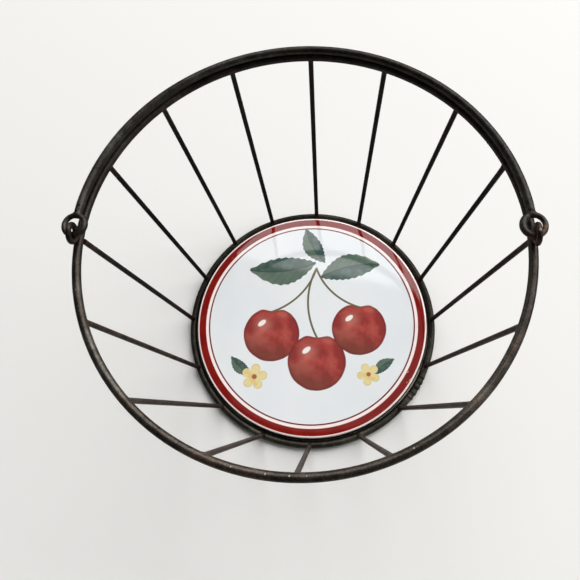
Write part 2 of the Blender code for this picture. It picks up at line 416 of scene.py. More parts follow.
def baked(piece):
    """The mesh that an object's modifiers make of it. The object itself is removed."""
    ready = piece.evaluated_get(bpy.context.evaluated_depsgraph_get())
    mesh = bpy.data.meshes.new_from_object(ready)
    bpy.data.objects.remove(piece, do_unlink=True)
    return mesh


def run_tree(tree, source, name, inputs):
    """Run a tree on an object and keep the result as a plain mesh object."""
    modifier = source.modifiers.new("shape", "NODES")
    modifier.node_group = tree
    for item in tree.interface.items_tree:
        if item.in_out == "INPUT" and item.name in inputs:
            modifier[item.identifier] = inputs[item.name]
    mesh = baked(source)
    mesh.name = name
    return add_object(name, mesh)


UNEVEN_SIZE = 0.006


def bend_rod(name, points, radii, closed, sides, finish, unevenness=0.00004, seed=0.0):
    path = bpy.data.curves.new(name, "CURVE")
    path.dimensions = "3D"
    spline = path.splines.new("POLY")
    spline.points.add(len(points) - 1)
    for bend, point, radius in zip(spline.points, points, radii):
        bend.co = (*point, 1.0)
        bend.radius = radius
    spline.use_cyclic_u = closed
    return run_tree(rod_tree, add_object(name, path), name, {
        "Sides": sides, "Unevenness": unevenness, "Unevenness Size": UNEVEN_SIZE,
        "Seed": seed, "Finish": finish})


print("A bent rod is made by", len(rod_tree.nodes), "nodes")

# %% [markdown]
# ## Spokes
#
# Sixteen straight rods, each butted against both rings and welded there. In the CAD they
# stop 0.3 mm short of the rings, as separate solids. Here each one runs on into the ring,
# and swells just before it, as the bead of a weld does. The tree for a spoke takes its two
# ends, and puts more cross-sections near them than along the plain middle. It also writes
# the weld number, which tells the finish where rust may sit.
#
# A dark rod melts into the pale floor at its two edges, so it looks thinner in a small
# render than in the photo. The spokes are 3.2 mm thick here, not 2.6 mm as their solids
# are, and then they look nearly as thick as in the photo.

# %% The tree that makes a spoke
SPOKE_STEPS = 110
BUNCHING = 0.9  # 0 spreads the steps evenly, and nearly 1 draws most of them to the ends
RUST_FADE = 170.0  # how fast the rust fades away from a weld, per metre
LUMP_SIZE = 0.0014
PLAIN_DEPTH = 0.00002

spoke_tree, spoke_in = make_tree(
    "welded_spoke", Vector=["Foot", "Top"], Material=["Finish"],
    Float=["Radius", "Buried", "Weld Swell", "Weld Reach", "Lumps", "Rust", "Seed"])
line = add_node("GeometryNodeCurvePrimitiveLine",
                {"Start": spoke_in["Foot"], "End": spoke_in["Top"]})
line = add_node("GeometryNodeResampleCurve", {"Curve": line, "Count": SPOKE_STEPS})
along = add_node("GeometryNodeSplineParameter", tree=spoke_tree)
even, gone = along["Factor"], along["Length"]
bunched = even - maths("SINE", even * math.tau) * (BUNCHING / math.tau)
span = vector_maths("SUBTRACT", spoke_in["Top"], spoke_in["Foot"])
line = add_node("GeometryNodeSetPosition", {
    "Geometry": line, "Position": vector_maths("ADD", spoke_in["Foot"], scaled(span, bunched))})
to_end = maths("MINIMUM", gone, vector_maths("LENGTH", span) - gone)
from_ring = maths("MAXIMUM", 0.0, to_end - spoke_in["Buried"])
bead = maths("EXPONENT", -1.0 * (from_ring / spoke_in["Weld Reach"]))
line = add_node("GeometryNodeSetCurveRadius", {
    "Curve": line, "Radius": spoke_in["Radius"] * (1.0 + bead * spoke_in["Weld Swell"])})
weld = maths("EXPONENT", from_ring * -RUST_FADE) * spoke_in["Rust"]
for name, value in (("weld", weld), ("bead", bead)):
    line = add_node("GeometryNodeStoreNamedAttribute",
                    {"Geometry": line, "Name": name, "Value": value},
                    data_type="FLOAT", domain="POINT")
near_weld = add_node("GeometryNodeInputNamedAttribute", {"Name": "bead"}, tree=spoke_tree,
                     data_type="FLOAT")
spoke_mesh = roughen(sweep(line, 20), PLAIN_DEPTH + near_weld * spoke_in["Lumps"],
                     LUMP_SIZE, spoke_in["Seed"])
finish_tree(spoke_mesh, spoke_in["Finish"])
print("A spoke is made by", len(spoke_tree.nodes), "nodes")


# %% Make the sixteen spokes
def corners_of(mesh):
    return np.array([v.co for v in mesh.vertices], float)


def spoke_ends(node):
    """The middle points of a CAD spoke's two flat ends, the lower one first."""
    corners = corners_of(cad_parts[node].data)
    middle = (corners.min(0) + corners.max(0)) / 2
    axis = np.linalg.svd(corners - middle, full_matrices=False)[2][0]
    axis = axis if axis[2] > 0 else -axis
    reach = np.abs((corners - middle) @ axis).max()
    return Vector(middle - axis * reach), Vector(middle + axis * reach)


SPOKE_RADIUS = 0.00158
SEAT_GAP = 0.0003  # between a spoke's solid and a ring
BURIED = 0.0004  # how far a spoke runs into a ring
WELD_LUMPS = 0.00012
RING_RUST = 0.25  # on the rings, at a plain weld
# A weld: share of swelling, how far along it reaches, rust, and how far the spoke's top lies
# inwards. Number 12, at the left of the front, has the one broad and rusty weld. Number 9,
# beside the left eye, was welded off centre, so its blunt end shows.
PLAIN_WELD = (0.14, 0.0006, 0.22, 0.0)
WELDS = {2: (0.30, 0.0016, 0.3, 0.0), 9: (0.06, 0.0006, 0.3, 0.0016),
         12: (0.5, 0.0022, 1.0, 0.0)}
joints = []
spokes = []
for number in range(1, 17):
    node = f"spoke_{number:02d}"
    swell, reach, rust, inwards = WELDS.get(number, PLAIN_WELD)
    foot, top = spoke_ends(node)
    top -= Vector((top.x, top.y, 0)).normalized() * inwards
    axis = (top - foot).normalized()
    joints += [(foot, RING_RUST), (top, max(RING_RUST, rust))]
    holder = add_object(node, bpy.data.meshes.new(node))
    spoke = run_tree(spoke_tree, holder, f"{node}_rod", {
        "Foot": foot - axis * (SEAT_GAP + BURIED), "Top": top + axis * (SEAT_GAP + BURIED),
        "Radius": SPOKE_RADIUS, "Buried": BURIED, "Finish": spoke_finish,
        "Weld Swell": swell, "Weld Reach": reach, "Rust": rust,
        "Lumps": WELD_LUMPS, "Seed": float(number)})
    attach(spoke, "basket")
    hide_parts(node)
    spokes.append(spoke)
print(len(spokes), "spokes,", len(spokes[0].data.polygons), "faces each")

# %% [markdown]
# ## The two rings
#
# The rim and the base ring are closed rings of the same rod. The base ring was joined at the
# lower right: its rod has the fine cross ridges of a weld there, and a few lumps stand out
# from its edge. A ring's path is a circle, and the ridges and lumps come from changing the
# rod's radius along it. Both rings, and later the handle's bow, are 0.16 mm thicker than
# their solids, for the same reason as the spokes.


# %% Make the rim and the base ring
def mark_places(piece, name, places, reach, core=ROD / 2):
    """Write a number on a piece's points: each place's strength, fading past its core."""
    corners = corners_of(piece.data)
    marks = np.zeros(len(corners))
    for place, strength in places:
        away = np.linalg.norm(corners - np.array(place, float), axis=1)
        near = np.exp(-np.maximum(away - core, 0) / reach)
        marks = np.maximum(marks, strength * near)
    attribute = (piece.data.attributes.get(name)
                 or piece.data.attributes.new(name, "FLOAT", "POINT"))
    attribute.data.foreach_set("value", marks.astype(np.float32))


def bump_on_path(turn, centre, half_width):
    """A smooth hill, 1 at the centre and 0 past the half width, in degrees."""
    away = abs((turn - centre + 180) % 360 - 180) / half_width
    return 0.5 + 0.5 * math.cos(math.pi * away) if away < 1 else 0.0


RIM_POINTS = 480
BASE_POINTS = 1440
FULLER = 0.00008  # added to a rod's radius, as the text above says
rim_points = [on_ring(RIM_RADIUS, 360 * step / RIM_POINTS, RIM_HEIGHT)
              for step in range(RIM_POINTS)]
rim = bend_rod("rim_ring_rod", rim_points, [ROD + FULLER] * RIM_POINTS, closed=True,
               sides=32, finish=rim_finish, seed=11.0)

# Lumps of the base ring's weld: bearing, length in degrees, and height as a share. Each one
# rises slowly and ends in a steep little step.
BASE_LUMPS = [(-26.2, 1.9, 0.14), (-28.8, 1.9, 0.20), (-31.6, 2.0, 0.26),
              (-34.4, 2.0, 0.26), (-37.2, 1.9, 0.18)]
LUMP_STEP = 0.35
# Where the cross ridges lie: bearing, half width in degrees, and strength before it is held
# at 1, so a strength over 1 gives the patch of ridges a broad even middle
RIDGED = [(-32, 14, 1.5), (-150, 13, 1.2)]
RIDGE_STEP = 1.2
RIDGE_HEIGHT = 0.034
base_points, base_radii = [], []
for step in range(BASE_POINTS):
    turn = 360 * step / BASE_POINTS
    swell = sum(rise * bump_on_path(turn, at, LUMP_STEP if (turn - at) % 360 > 180 else long)
                for at, long, rise in BASE_LUMPS)
    ridged = min(1.0, sum(strong * bump_on_path(turn, at, wide)
                          for at, wide, strong in RIDGED))
    ridge = RIDGE_HEIGHT * math.sin(math.tau * turn / RIDGE_STEP) * ridged
    radius = ROD * (1 + swell / 2 + ridge) + FULLER
    base_radii.append(radius)
    base_points.append(on_ring(BASE_RADIUS + ROD * swell / 2, turn, max(radius, ROD + FULLER)))
base = bend_rod("base_ring_rod", base_points, base_radii, closed=True, sides=24,
                finish=base_finish, unevenness=0.00003, seed=12.0)

for ring, node, slot in ((rim, "rim_ring", "rim_metal"), (base, "base_ring", "base_metal")):
    mark_places(ring, "weld", joints, 0.003)
    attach(ring, "basket")
    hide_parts(node)
print("The rim has", len(rim.data.polygons), "faces and the base ring",
      len(base.data.polygons))

# %% [markdown]
# ## The rim's eyes
#
# Two small upright rings of wire stand on the rim, left and right. The weld at each foot is
# wider than the wire, so the wire's radius swells towards the foot. On the real basket the
# right one was knocked inwards a little, so its points lean about its foot.

# %% Make the two eyes on the rim
EYE_POINTS = 96
FULL_EYE_WIRE = 0.00158  # the real wire is a little thicker than the solid's
FOOT_SWELL = 0.30
FOOT_HALF_WIDTH = 42  # in degrees
eye_bend = EYE_RADIUS + EYE_WIRE - FULL_EYE_WIRE
eye_foot = HINGE_HEIGHT - EYE_RADIUS - EYE_WIRE
for node, side, lean in (("rim_eye_left", -1, 0.0), ("rim_eye_right", 1, 5.0)):
    points, radii = [], []
    upright, inwards = direction(lean)
    for step in range(EYE_POINTS):
        turn = 360 * step / EYE_POINTS
        y, z = direction(turn)
        up = HINGE_HEIGHT + eye_bend * z - eye_foot
        points.append(Vector((side * (EYE_X - up * inwards), eye_bend * y,
                              eye_foot + up * upright)))
        radii.append(FULL_EYE_WIRE * (1 + FOOT_SWELL
                                      * bump_on_path(turn, -90, FOOT_HALF_WIDTH)))
    eye = bend_rod(f"{node}_wire", points, radii, closed=True, sides=24,
                   finish=eye_finish, unevenness=0.00006, seed=20.0 + side)
    mark_places(eye, "weld", [((side * EYE_X, 0, eye_foot), 1.0)], 0.004)
    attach(eye, "basket")
    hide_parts(node)
    print(f"{eye.name} leans {lean:.0f} degrees inwards")

# %% [markdown]
# ## The handle
#
# The handle is one rod bent to half a circle. Each end is drawn thinner and curled into a
# flat eye, whose tip is forged into the shank, so the eye looks like a closed ring that
# flows into the rod, with a short crease where the tip was closed. Two plain rods pushed
# into each other would show a hard edge there. So each eye is made as a field: for any
# place, how far it is from the ring and from the shank, with the two melted together. A
# voxel remesh of both rods gives a clean net of faces, and each of its points then moves to
# where the field is zero. The long bow is swept as the rings were, and starts inside the
# eye's shank. All is drawn level and then tilted about the hinge, as the handle rests.

# %% The handle's path
HANDLE_ROD = 0.0023
HANDLE_SET_OUT = 0.0008
HANDLE_EYE_RADIUS = 0.0056
HANDLE_EYE_SET_IN = 0.0013
HANDLE_NECK_LENGTH = 0.0035
HANDLE_NECK_SET_IN = 0.0008
HANDLE_SIDE_SHIFT = -0.0006

hinge_rise = HINGE_HEIGHT - RIM_HEIGHT
seat_rise = math.sqrt((ROD + HANDLE_ROD + SEAT_GAP) ** 2 - HANDLE_SET_OUT ** 2)
rest_drop = hinge_rise - seat_rise
rest_slope = math.atan2(rest_drop, RIM_RADIUS + HANDLE_SET_OUT)
handle_reach = math.hypot(RIM_RADIUS + HANDLE_SET_OUT, rest_drop)

eye_x = EYE_X - HANDLE_EYE_SET_IN
neck = Vector((eye_x - HANDLE_NECK_SET_IN, 2 * HANDLE_EYE_RADIUS + HANDLE_NECK_LENGTH, 0))
bow_y = (handle_reach ** 2 - neck.y ** 2 - neck.x ** 2) / (2 * (handle_reach - neck.y))
bow_radius = handle_reach - bow_y
neck_turn = math.atan2(neck.y - bow_y, neck.x)
half_bow = (math.pi / 2 - neck_turn) * bow_radius


def on_bow(length):
    """The right half's middle line, by its length from the neck: straight before it."""
    if length < 0:
        return neck + Vector((-math.sin(neck_turn), math.cos(neck_turn), 0)) * length
    turn = neck_turn + length / bow_radius
    return Vector((bow_radius * math.cos(turn), bow_y + bow_radius * math.sin(turn), 0))


print(f"The handle's bow has a radius of {bow_radius * 1000:.1f} mm and each half is "
      f"{half_bow * 1000:.0f} mm long")

# %% The field of one eye and its shank
RING_OUTER = (0.00745, 0.00770)  # half its width and half its length, outside
RING_MIDDLE_Y = 0.0050
RING_TURNS = (0, 60, 100, 180, 270, 360)
RING_WIRE = (0.00148, 0.00150, 0.00168, 0.00195, 0.00180, 0.00148)
RING_STEPS = 72
SHANK_START, SHANK_FULL, SHANK_END = -0.0026, 0.003, 0.0080
SHANK_THIN = 0.00212
SHANK_STEPS = 17
TUCK = 0.00012  # how far an end dips under the other piece's skin
TUCK_LENGTH = 0.001
MELT = 0.0013
CREASE_WIDTH = 0.0014
CREASE_RADIUS = 0.00042

ring_points, ring_radii = [], []
for step in range(RING_STEPS):
    turn = 360 * step / RING_STEPS
    wire = float(np.interp(turn, RING_TURNS, RING_WIRE))
    ring_radii.append(wire)
    x, y = direction(turn)
    ring_points.append(Vector((eye_x + (RING_OUTER[0] - wire) * x,
                               RING_MIDDLE_Y + (RING_OUTER[1] - wire) * y, 0)))
shank_lengths = np.linspace(SHANK_START, SHANK_END, SHANK_STEPS)
shank_points = [on_bow(float(length)) for length in shank_lengths]
BOW_ROD = HANDLE_ROD + FULLER
shank_radii = list(np.interp(
    shank_lengths, (SHANK_START, SHANK_FULL, SHANK_END - TUCK_LENGTH, SHANK_END),
    (SHANK_THIN, BOW_ROD, BOW_ROD, BOW_ROD - TUCK)))


def depth_in_rod(places, points, radii, closed=False):
    """Each place's distance from a rod's skin, less than zero inside it."""
    points = np.array([list(point) for point in points])
    radii = np.array(radii)
    if closed:
        points, radii = np.vstack([points, points[:1]]), np.append(radii, radii[0])
    nearest = np.full(len(places), np.inf)
    for start, end, first, last in zip(points[:-1], points[1:], radii[:-1], radii[1:]):
        step = end - start
        share = np.clip((places - start) @ step / (step @ step), 0, 1)
        away = np.linalg.norm(places - start - share[:, None] * step, axis=1)
        nearest = np.minimum(nearest, away - first - (last - first) * share)
    return nearest


def eye_field(places, crease_at):
    """The ring and the shank melted together, with the crease cut into the top."""
    ring = depth_in_rod(places, ring_points, ring_radii, closed=True)
    shank = depth_in_rod(places, shank_points, shank_radii)
    share = np.clip(0.5 + 0.5 * (shank - ring) / MELT, 0, 1)
    both = shank * (1 - share) + ring * share - MELT * share * (1 - share)
    ends = [crease_at + Vector((side * CREASE_WIDTH / 2, 0, 0)) for side in (-1, 1)]
    crease = depth_in_rod(places, ends, [CREASE_RADIUS] * 2)
    return np.maximum(both, -crease)


# %% Make an eye from its field
VOXEL = 0.00022
SLOPE_STEP = 0.00001
LEAST_SLOPE = 0.25  # keeps a point's move short where the field is flat
RELAX_ROUNDS = 5
SETTLE_ROUNDS = 3


def join_meshes(name, meshes, finish):
    """One object from (corners, faces) pairs."""
    corners, faces = [], []
    for part_corners, part_faces in meshes:
        faces += [[len(corners) + index for index in face] for face in part_faces]
        corners += [tuple(corner) for corner in part_corners]
    mesh = bpy.data.meshes.new(name)
    mesh.from_pydata(corners, [], faces)
    mesh.polygons.foreach_set("use_smooth", [True] * len(faces))
    mesh.materials.append(finish)
    return add_object(name, mesh)


def taken_mesh(piece):
    """Take an object's corners and faces, and remove it."""
    corners = corners_of(piece.data)
    faces = [list(face.vertices) for face in piece.data.polygons]
    bpy.data.objects.remove(piece, do_unlink=True)
    return corners, faces


def relaxed(corners, edges):
    """Move each point to the middle of its neighbours."""
    total, count = np.zeros_like(corners), np.zeros(len(corners))
    for here, there in ((0, 1), (1, 0)):
        np.add.at(total, edges[:, here], corners[edges[:, there]])
        np.add.at(count, edges[:, here], 1)
    return total / count[:, None]


def make_eye(crease_at):
    """A net of faces round the ring and the shank, drawn onto their field."""
    rough = join_meshes("rough_eye", [
        taken_mesh(bend_rod("rough_rod", points, radii, closed, sides=20,
                            finish=handle_finish, unevenness=0.0))
        for points, radii, closed in ((ring_points, ring_radii, True),
                                      (shank_points, shank_radii, False))], handle_finish)
    remesh = rough.modifiers.new("net", "REMESH")
    remesh.mode = "VOXEL"
    remesh.voxel_size = VOXEL
    net = baked(rough)
    corners = corners_of(net)
    edges = np.array([list(edge.vertices) for edge in net.edges])
    faces = [list(face.vertices) for face in net.polygons]
    for step in range(RELAX_ROUNDS * SETTLE_ROUNDS):
        if step % SETTLE_ROUNDS == 0:
            corners = relaxed(corners, edges)
        value = eye_field(corners, crease_at)
        slope = np.stack([(eye_field(corners + nudge, crease_at) - value) / SLOPE_STEP
                          for nudge in np.eye(3) * SLOPE_STEP], axis=1)
        size = np.maximum((slope ** 2).sum(1), LEAST_SLOPE)
        corners = corners - slope * (value / size)[:, None]
    print(f"An eye has {len(faces)} faces, off its field by at most "
          f"{np.abs(eye_field(corners, crease_at)).max() * 1e6:.0f} micrometres")
    return corners, faces


# Where each crease lies, drawn as on the right eye
CREASE_Y = RING_MIDDLE_Y + RING_OUTER[1] + 0.0002
CREASE_HEIGHT = 0.00195
right_crease = Vector((eye_x - 0.0006, CREASE_Y, CREASE_HEIGHT))
left_crease = Vector((eye_x + 0.0010, CREASE_Y, CREASE_HEIGHT))
right_eye = make_eye(right_crease)
left_eye = make_eye(left_crease)
left_eye = (left_eye[0] * (-1, 1, 1), [face[::-1] for face in left_eye[1]])

# %% Sweep the bow and join the handle
BOW_START = SHANK_END - 0.002
BOW_STEP = 0.0016
TUCK_STEPS = 4
lengths = [BOW_START + step * TUCK_LENGTH / TUCK_STEPS for step in range(TUCK_STEPS + 1)]
lengths += list(np.linspace(lengths[-1], half_bow, int(half_bow / BOW_STEP)))[1:]
bow_half = [on_bow(length) for length in lengths]
bow_radii = [BOW_ROD - TUCK * max(0.0, 1 - (length - BOW_START) / TUCK_LENGTH)
             for length in lengths]
bow_points = bow_half + [Vector((-point.x, point.y, 0)) for point in reversed(bow_half[:-1])]
bow = bend_rod("bow", bow_points, bow_radii + bow_radii[-2::-1], closed=False, sides=28,
               finish=handle_finish, unevenness=0.0)

skin_tree, skin_in = make_tree("uneven_skin", Material=["Finish"],
                               Float=["Unevenness", "Unevenness Size", "Seed"])
finish_tree(roughen(skin_in["Geometry"], skin_in["Unevenness"], skin_in["Unevenness Size"],
                    skin_in["Seed"]), skin_in["Finish"])

place = (Matrix.Translation((HANDLE_SIDE_SHIFT, 0, HINGE_HEIGHT))
         @ Euler((-rest_slope, 0, 0)).to_matrix().to_4x4())
handle = join_meshes("handle_level", [right_eye, left_eye, taken_mesh(bow)], handle_finish)
handle.data.transform(place)
handle = run_tree(skin_tree, handle, "handle_rod", {
    "Unevenness": 0.00005, "Unevenness Size": UNEVEN_SIZE, "Seed": 31.0,
    "Finish": handle_finish})
# Rust on the eyes: its place on the level handle, and its strength
RUSTY = [((eye_x + 0.0058, 0.0035, 0.001), 1.0), ((eye_x + 0.0035, 0.0, 0.001), 0.8),
         ((eye_x - 0.0015, -0.001, 0.001), 0.7), ((-eye_x - 0.0020, -0.001, 0.0), 0.3)]
mark_places(handle, "weld", [(place @ Vector(at), strong) for at, strong in RUSTY], 0.0012)
# Painted shade along the bottom of each eye's crease
dark = [(place @ Vector((side * (at.x + along), at.y, at.z)), strong)
        for side, at, strong in ((1, right_crease, 0.6), (-1, left_crease, 1.0))
        for along in (-0.0007, -0.0003, 0.0003, 0.0007)]
mark_places(handle, "crease", dark, reach=0.00015, core=0.00068)
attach(handle, "handle")
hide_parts("handle")
print(f"The handle rests {math.degrees(rest_slope):.2f} degrees below level and has "
      f"{len(handle.data.polygons)} faces")

# %% [markdown]
# ## The pan
#
# The tile lies in a shallow pan inside the base ring. Little of it shows: its rolled lip in
# the gap round the tile, and at the lower right the blunt end of a strip of the lip, which
# stands up beside the tile. The pan is an outline turned about the basket's axis, in steps
# fine enough to lift only the strip. Small tack welds hold the pan to the base ring.


# %% Make the pan
def turned(name, outline, steps, finish):
    """A solid turned about Z from (radius, height) points that start and end on the axis."""
    inner = outline[1:-1]
    corners = [(0, 0, outline[0][1])]
    for step in range(steps):
        turn = math.tau * step / steps
        corners += [(r * math.cos(turn), r * math.sin(turn), z) for r, z in inner]
    corners.append((0, 0, outline[-1][1]))
    count, last = len(inner), len(corners) - 1
    faces = []
    for step in range(steps):
        here, there = 1 + step * count, 1 + (step + 1) % steps * count
        faces.append((0, here, there))
        faces += [(here + k, here + k + 1, there + k + 1, there + k)
                  for k in range(count - 1)]
        faces.append((here + count - 1, last, there + count - 1))
    return join_meshes(name, [(corners, faces)], finish)


def arc(radius, height, size, start, end, steps):
    """Points on part of a circle in the outline's plane, from one bearing to another."""
    bearings = [direction(start + (end - start) * k / steps) for k in range(steps + 1)]
    return [(radius + size * out, height + size * up) for out, up in bearings]


PAN_WALL = 0.0010
PAN_CORNER = 0.0006
PAN_INNER_CORNER = 0.0004
PAN_STEPS = 720
flat_edge = PAN_RADIUS - PAN_WALL - PAN_INNER_CORNER
pan_outline = [(0, PAN_WALL), (flat_edge, PAN_WALL)]
pan_outline += arc(flat_edge, PAN_WALL + PAN_INNER_CORNER, PAN_INNER_CORNER, -90, 0, 4)
pan_outline += arc(PAN_RADIUS - PAN_WALL / 2, PAN_LIP_HEIGHT - PAN_WALL / 2, PAN_WALL / 2,
                   180, 0, 8)
pan_outline += arc(PAN_RADIUS - PAN_CORNER, PAN_CORNER, PAN_CORNER, 0, -90, 5)
pan_outline.append((0, 0))
sheet = taken_mesh(turned("sheet", pan_outline, PAN_STEPS, pan_finish))

# The strip at the lower right, by bearings: it rises from its last trace to its full height,
# and keeps that up to its blunt end
STRIP_TRACE, STRIP_FULL, STRIP_BLUNT = -62.0, -42.0, -23.5
STRIP_RISE = 0.0024
for corner in sheet[0]:
    turn = math.degrees(math.atan2(corner[1], corner[0]))
    if corner[2] > PAN_LIP_HEIGHT - PAN_WALL and STRIP_TRACE < turn < STRIP_BLUNT:
        corner[2] += STRIP_RISE * min(1.0, (turn - STRIP_TRACE) / (STRIP_FULL - STRIP_TRACE))

# Small tack welds that hold the pan to the base ring
TACKS = 6
TACK_SIZE = (0.0008, 0.0016, 0.0009)
FIRST_TACK = 18
TACK_HEIGHT = 0.0016
tack_places = [on_ring(PAN_RADIUS + SEAT_GAP / 2, FIRST_TACK + 360 * step / TACKS, TACK_HEIGHT)
               for step in range(TACKS)]
tacks = []
for tack_place in tack_places:
    drop = turned("drop", [(0, 1)] + arc(0, 0, 1, 80, -80, 12) + [(0, -1)], 16, pan_finish)
    drop.data.transform(Matrix.Translation(tack_place) @ Matrix.Rotation(
        math.atan2(tack_place.y, tack_place.x), 4, "Z") @ Matrix.Diagonal((*TACK_SIZE, 1)))
    tacks.append(taken_mesh(drop))
pan = run_tree(skin_tree, join_meshes("pan_parts", [sheet] + tacks, pan_finish),
               "base_pan_sheet", {"Unevenness": 0.00003, "Unevenness Size": 0.003,
                                  "Seed": 41.0, "Finish": pan_finish})
mark_places(pan, "weld", [(tack_place, 0.5) for tack_place in tack_places], 0.002)
# A pale painted highlight along the top of the strip
painted_strip_gleam = [(on_ring(PAN_RADIUS - 0.0003, turn, PAN_LIP_HEIGHT + STRIP_RISE), 0.65)
             for turn in np.arange(STRIP_FULL, STRIP_BLUNT, 0.5)]
mark_places(pan, "strip_highlight", painted_strip_gleam, reach=0.0006, core=0.0009)
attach(pan, "basket")
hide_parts("base_pan")
print("The pan's lip is", round(PAN_LIP_HEIGHT * 1000, 2), "mm high")

# %% [markdown]
# ## The tile
#
# A round glazed tile with a softened edge. The glaze is smooth enough to mirror the spokes,
# yet it undulates a little, as fired glaze does. Its border is a broad red band and a thin
# red line. Inside them is a print, for which any generic design will do: here it is a sprig
# of cherries with two pale blossoms.

# %% Make the tile's shape
TILE_EDGE = 0.0009
TILE_FOOT_EDGE = 0.0005
TILE_STEPS = 256
tile_outline = [(0, TILE_TOP)]
tile_outline += [(TILE_RADIUS * share, TILE_TOP) for share in (0.25, 0.5, 0.75, 0.95)]
tile_outline += arc(TILE_RADIUS - TILE_EDGE, TILE_TOP - TILE_EDGE, TILE_EDGE, 90, 0, 8)
tile_outline += [(TILE_RADIUS, tile_low.z + TILE_FOOT_EDGE),
                 (TILE_RADIUS - TILE_FOOT_EDGE, tile_low.z), (0, tile_low.z)]
white = new_material("tile_glaze_print")
tile = turned("tile_glazed", tile_outline, TILE_STEPS, white)
print("The tile has", len(tile.data.polygons), "faces")

# %% [markdown]
# ## The tile's print
#
# The print is drawn by nodes, so it is sharp at any size. Each kind of motif is a node group
# that works in its own small coordinates, where the motif has a size of 1, and gives a
# colour and a mask. A Mapping node puts each copy in its place, at its own size and turn.
# Then the layers are laid over the white glaze one after the other.


# %% Helpers for the print
def make_group(name):
    """A shader node group that turns a place into a colour and a mask."""
    tree = bpy.data.node_groups.new(name, "ShaderNodeTree")
    add_sockets(tree, "INPUT", Vector=["Where"])
    add_sockets(tree, "OUTPUT", Color=["Colour"], Float=["Mask"])
    where = Result(tree.nodes.new("NodeGroupInput").outputs["Where"])
    return tree, where, tree.nodes.new("NodeGroupOutput")


def split(where):
    parts = add_node("ShaderNodeSeparateXYZ", {0: where})
    return parts[0], parts[1]


def seen_from(where, x, y, turn, width, height):
    """A place as a motif at (x, y), turned and of that size, sees it in its own units."""
    return add_node("ShaderNodeMapping", {
        "Vector": where, "Location": (x, y, 0.0), "Rotation": (0, 0, turn),
        "Scale": (width, height, 1.0)}, vector_type="TEXTURE")


def wash(where, size, seed, colours):
    """A watercolour wash: colours that run into each other by cloudy noise."""
    cloud = noise(where, size, detail=4, roughness=0.55, seed=seed)
    colour = colours[0]
    for step, other in enumerate(colours[1:], 1):
        edge = 0.32 + 0.30 * step / len(colours)
        colour = blend_colours(remap(cloud, edge, edge + 0.12), colour, other)
    return colour


# %% The motifs
# A cherry: a disc with a dimple at the top, darker low down, with a window's gleam
cherry, where, out = make_group("cherry")
x, y = split(where)
radius = vector_maths("LENGTH", where) + (noise(where, 0.5, seed=2.0) - 0.5) * 0.05
radius += remap(y, 0.4, 1.0, 0.0, 0.16) * remap(abs(x), 0.45, 0.0)
body = wash(where, 0.7, 5.0, [paint(142, 44, 40), paint(168, 62, 55), paint(180, 86, 74)])
low_side = remap(y + x * 0.35, 0.1, -0.95)
body = blend_colours(low_side * 0.75, body, paint(112, 60, 46))
body = blend_colours(remap(radius, 0.86, 1.0, 0.0, 0.6), body, paint(104, 30, 28))
glow_away = vector_maths("DISTANCE", where, (-0.30, 0.34, 0.0))
body = blend_colours(remap(glow_away, 0.5, 0.05, 0.0, 0.45), body, paint(222, 140, 122))
gleam = vector_maths("LENGTH", seen_from(where, -0.36, 0.40, 0.7, 0.17, 0.09))
body = blend_colours(remap(gleam, 1.15, 0.8), body, paint(246, 238, 232))
fill(out, {"Colour": body, "Mask": remap(radius, 1.012, 0.985)})

# A leaf: pointed at both ends, toothed, lighter on one side of its rib
leaf, where, out = make_group("leaf")
x, y = split(where)
bent = y + x * x * 0.16
tooth = maths("PINGPONG", x + abs(bent) * 0.5, 0.11)
half_width = (1.0 - abs(x) ** 1.9) * 0.42 + tooth * 0.35
inside = maths("MINIMUM", half_width - abs(bent), 1.0 - abs(x))
green = wash(where, 0.8, 9.0, [paint(60, 84, 78), paint(84, 106, 94), paint(126, 116, 84)])
green = blend_colours(remap(bent, -0.02, 0.02, 0.0, 0.35), green, paint(126, 142, 120))
rib = remap(abs(bent), 0.030, 0.010) * 0.8
vein = remap(maths("PINGPONG", x - abs(bent) * 0.9, 0.12), 0.014, 0.004) * 0.5
green = blend_colours(maths("MAXIMUM", rib, vein), green, paint(52, 66, 58))
fill(out, {"Colour": green, "Mask": remap(inside, -0.008, 0.008)})

# A blossom: five round petals about a darker heart
blossom, where, out = make_group("blossom")
x, y = split(where)
petal = abs(maths("COSINE", maths("ARCTAN2", y, x) * 2.5)) ** 0.45
away = vector_maths("LENGTH", where)
inside = petal * 0.62 + 0.36 - away
yellow = wash(where, 0.6, 13.0, [paint(232, 214, 156), paint(226, 202, 132)])
yellow = blend_colours(remap(inside, 0.10, 0.0, 0.0, 0.6), yellow, paint(178, 160, 104))
yellow = blend_colours(remap(away, 0.24, 0.14), yellow, paint(168, 96, 58))
fill(out, {"Colour": yellow, "Mask": remap(inside, -0.01, 0.02)})
print("Motifs:", [g.name for g in bpy.data.node_groups if g.type == "SHADER"])

# %% [markdown]
# ## Lay out the print
#
# The places are shares of the tile's radius. Stems are parts of large circles: a point is on
# a stem if its distance from the circle's middle is near the circle's radius, and its height
# lies between the stem's two ends.

# %% The tile's material
# Places are (x, y), then the size, and then the turn in degrees where it matters
CHERRIES = [(-0.34, -0.12, 0.245), (0.06, -0.36, 0.250), (0.42, -0.06, 0.235)]
LEAVES = [(-0.26, 0.47, 0.30, 187), (0.33, 0.52, 0.27, 14), (0.00, 0.71, 0.19, 118),
          (-0.60, -0.42, 0.12, 140), (0.62, -0.38, 0.11, 40)]
BLOSSOMS = [(-0.47, -0.50, 0.115, 10), (0.50, -0.46, 0.100, 45)]
STEM_JOIN = (0.04, 0.50)
STEM_WIDTH = 0.011
STEM_GREEN = paint(104, 96, 66)
FLATTEN = 1000.0  # so that a place's height hardly counts in its distances

